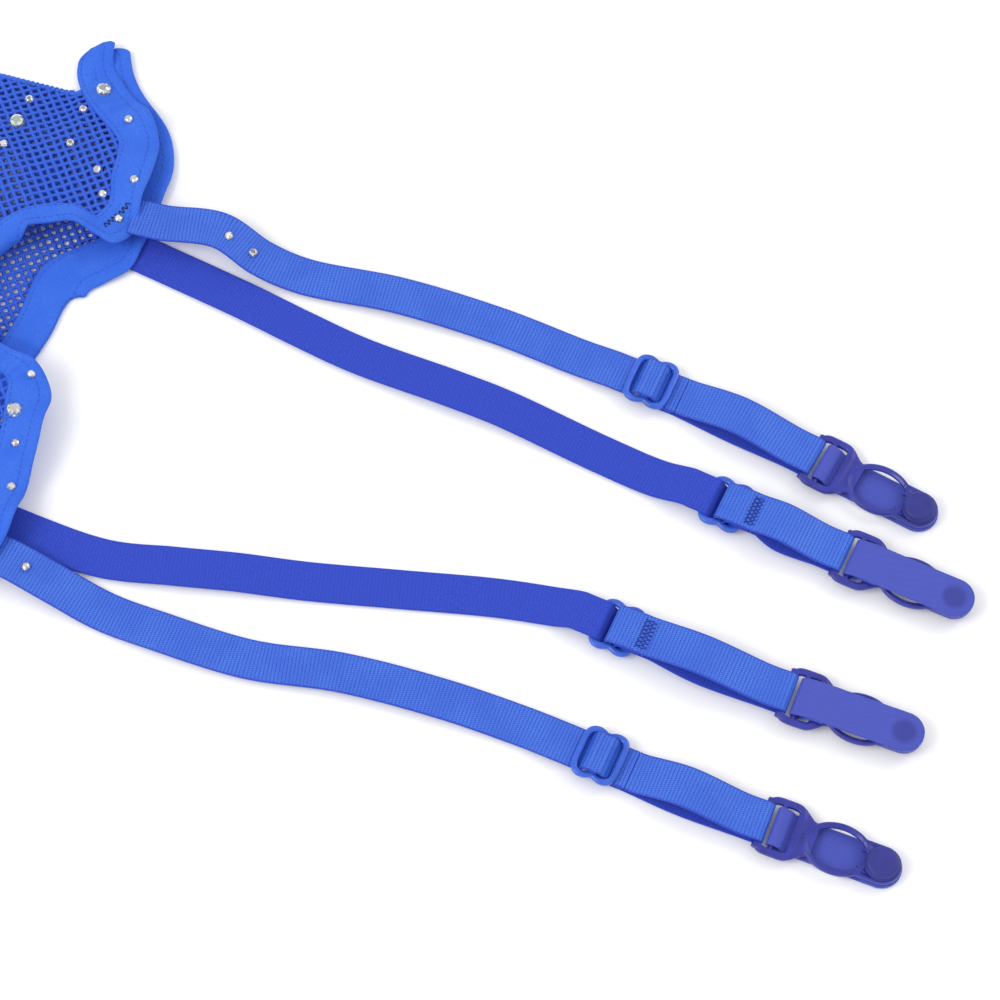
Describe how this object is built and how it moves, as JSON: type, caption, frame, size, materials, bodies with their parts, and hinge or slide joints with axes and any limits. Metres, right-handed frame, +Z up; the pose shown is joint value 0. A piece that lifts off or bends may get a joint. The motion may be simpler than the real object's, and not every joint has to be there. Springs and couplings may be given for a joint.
{
  "type": "suspender body garment",
  "caption": "Sleeveless fishnet body garment with rhinestones, arched open hem and four adjustable suspender straps with slider and keyhole clip, lying on its back.",
  "frame": {"origin": "centre-back waist, on the surface that the garment lies on", "axes": "+Y from hem to neckline, +X to the wearer's left, +Z up through the front"},
  "size_m": [0.245, 0.7545, 0.0252],
  "materials": {
    "net": "matte",
    "jersey": "matte",
    "elastic_tape": "satin",
    "slider_plastic": "gloss",
    "clip_plastic": "satin",
    "ribbon": "matte",
    "button_rubber": "matte",
    "crystal": "polished"
  },
  "bodies": {
    "root": {"back_hem_band": "jersey", "back_neckline_binding": "jersey", "back_net_panel": "net", "front_hem_band": "jersey", "front_neckline_binding": "jersey", "front_net_panel": "net", "large_rhinestones": "crystal", "left_shoulder_strap": "elastic_tape", "left_side_seam": "jersey", "right_shoulder_strap": "elastic_tape", "right_side_seam": "jersey", "small_rhinestones": "crystal", "strap_roots": "elastic_tape"},
    "front_left_strap": {"front_left_strap_rhinestones": "crystal", "front_left_strap_tape": "elastic_tape"},
    "front_left_slider": {"front_left_slider": "slider_plastic", "front_left_loop": "elastic_tape"},
    "front_left_loop_end": {"front_left_loop_fold": "elastic_tape"},
    "front_left_clip": {"front_left_clip_frame": "clip_plastic", "front_left_tongue": "ribbon"},
    "front_left_button": {"front_left_button": "button_rubber"},
    "back_left_strap": {"back_left_strap_tape": "elastic_tape"},
    "back_left_slider": {"back_left_slider": "slider_plastic", "back_left_loop": "elastic_tape"},
    "back_left_loop_end": {"back_left_loop_fold": "elastic_tape"},
    "back_left_clip": {"back_left_clip_frame": "clip_plastic", "back_left_tongue": "ribbon"},
    "back_left_button": {"back_left_button": "button_rubber"},
    "back_right_strap": {"back_right_strap_tape": "elastic_tape"},
    "back_right_slider": {"back_right_slider": "slider_plastic", "back_right_loop": "elastic_tape"},
    "back_right_loop_end": {"back_right_loop_fold": "elastic_tape"},
    "back_right_clip": {"back_right_clip_frame": "clip_plastic", "back_right_tongue": "ribbon"},
    "back_right_button": {"back_right_button": "button_rubber"},
    "front_right_strap": {"front_right_strap_rhinestones": "crystal", "front_right_strap_tape": "elastic_tape"},
    "front_right_slider": {"front_right_slider": "slider_plastic", "front_right_loop": "elastic_tape"},
    "front_right_loop_end": {"front_right_loop_fold": "elastic_tape"},
    "front_right_clip": {"front_right_clip_frame": "clip_plastic", "front_right_tongue": "ribbon"},
    "front_right_button": {"front_right_button": "button_rubber"}
  },
  "joints": [
    {"name": "front_left_strap_fold", "type": "hinge", "parent": "root", "child": "front_left_strap", "pos_m": [0.0645, -0.151, 0.0082], "axis": [-1, 0, 0], "range_deg": [0, 90]},
    {"name": "front_left_slider_travel", "type": "slide", "parent": "front_left_strap", "child": "front_left_slider", "axis": [-0.0544, 0.9985, 0], "range_m": [-0.049, 0.092], "deforming": ["front_left_strap_tape"]},
    {"name": "front_left_loop_length", "type": "slide", "parent": "front_left_slider", "child": "front_left_loop_end", "axis": [-0.0544, 0.9985, 0], "range_m": [-0.047, 0.0255], "deforming": ["front_left_loop"]},
    {"name": "front_left_clip_swivel", "type": "hinge", "parent": "front_left_loop_end", "child": "front_left_clip", "pos_m": [0.06946, -0.40369, 0.0034], "axis": [-0.9936, 0.1132, 0], "range_deg": [0, 85]},
    {"name": "front_left_button_travel", "type": "slide", "parent": "front_left_clip", "child": "front_left_button", "axis": [0.1132, 0.9936, 0], "range_m": [0, 0.014], "deforming": ["front_left_tongue"]},
    {"name": "back_left_strap_fold", "type": "hinge", "parent": "root", "child": "back_left_strap", "pos_m": [0.05, -0.19, 0.001], "axis": [-1, 0, 0], "range_deg": [0, 90]},
    {"name": "back_left_slider_travel", "type": "slide", "parent": "back_left_strap", "child": "back_left_slider", "axis": [0.0498, 0.9988, 0], "range_m": [-0.027, 0.094], "deforming": ["back_left_strap_tape"]},
    {"name": "back_left_loop_length", "type": "slide", "parent": "back_left_slider", "child": "back_left_loop_end", "axis": [0.0498, 0.9988, 0], "range_m": [-0.048, 0.0145], "deforming": ["back_left_loop"]},
    {"name": "back_left_clip_swivel", "type": "hinge", "parent": "back_left_loop_end", "child": "back_left_clip", "pos_m": [0.03785, -0.4267, 0.00415], "axis": [-0.999, 0.0436, 0], "range_deg": [0, 85]},
    {"name": "back_left_button_travel", "type": "slide", "parent": "back_left_clip", "child": "back_left_button", "axis": [0.0436, 0.999, 0], "range_m": [0, 0.014], "deforming": ["back_left_tongue"]},
    {"name": "back_right_strap_fold", "type": "hinge", "parent": "root", "child": "back_right_strap", "pos_m": [-0.0632, -0.186, 0.001], "axis": [-1, 0, 0], "range_deg": [0, 90]},
    {"name": "back_right_slider_travel", "type": "slide", "parent": "back_right_strap", "child": "back_right_slider", "axis": [-0.2424, 0.9702, 0], "range_m": [-0.048, 0.09], "deforming": ["back_right_strap_tape"]},
    {"name": "back_right_loop_length", "type": "slide", "parent": "back_right_slider", "child": "back_right_loop_end", "axis": [-0.2424, 0.9702, 0], "range_m": [-0.046, 0.025], "deforming": ["back_right_loop"]},
    {"name": "back_right_clip_swivel", "type": "hinge", "parent": "back_right_loop_end", "child": "back_right_clip", "pos_m": [-0.01917, -0.4277, 0.00415], "axis": [-0.9997, -0.0262, 0], "range_deg": [0, 85]},
    {"name": "back_right_button_travel", "type": "slide", "parent": "back_right_clip", "child": "back_right_button", "axis": [-0.0262, 0.9997, 0], "range_m": [0, 0.014], "deforming": ["back_right_tongue"]},
    {"name": "front_right_strap_fold", "type": "hinge", "parent": "root", "child": "front_right_strap", "pos_m": [-0.0778, -0.1565, 0.0062], "axis": [-1, 0, 0], "range_deg": [0, 90]},
    {"name": "front_right_slider_travel", "type": "slide", "parent": "front_right_strap", "child": "front_right_slider", "axis": [-0.0552, 0.9985, 0], "range_m": [-0.045, 0.11], "deforming": ["front_right_strap_tape"]},
    {"name": "front_right_loop_length", "type": "slide", "parent": "front_right_slider", "child": "front_right_loop_end", "axis": [-0.0552, 0.9985, 0], "range_m": [-0.056, 0.0235], "deforming": ["front_right_loop"]},
    {"name": "front_right_clip_swivel", "type": "hinge", "parent": "front_right_loop_end", "child": "front_right_clip", "pos_m": [-0.06637, -0.4372, 0.0034], "axis": [-0.9997, -0.0262, 0], "range_deg": [0, 85]},
    {"name": "front_right_button_travel", "type": "slide", "parent": "front_right_clip", "child": "front_right_button", "axis": [-0.0262, 0.9997, 0], "range_m": [0, 0.014], "deforming": ["front_right_tongue"]}
  ],
  "couplings": [
    {"joint": "front_left_loop_length", "follows": "front_left_slider_travel", "ratio": -0.5},
    {"joint": "back_left_loop_length", "follows": "back_left_slider_travel", "ratio": -0.5},
    {"joint": "back_right_loop_length", "follows": "back_right_slider_travel", "ratio": -0.5},
    {"joint": "front_right_loop_length", "follows": "front_right_slider_travel", "ratio": -0.5}
  ]
}
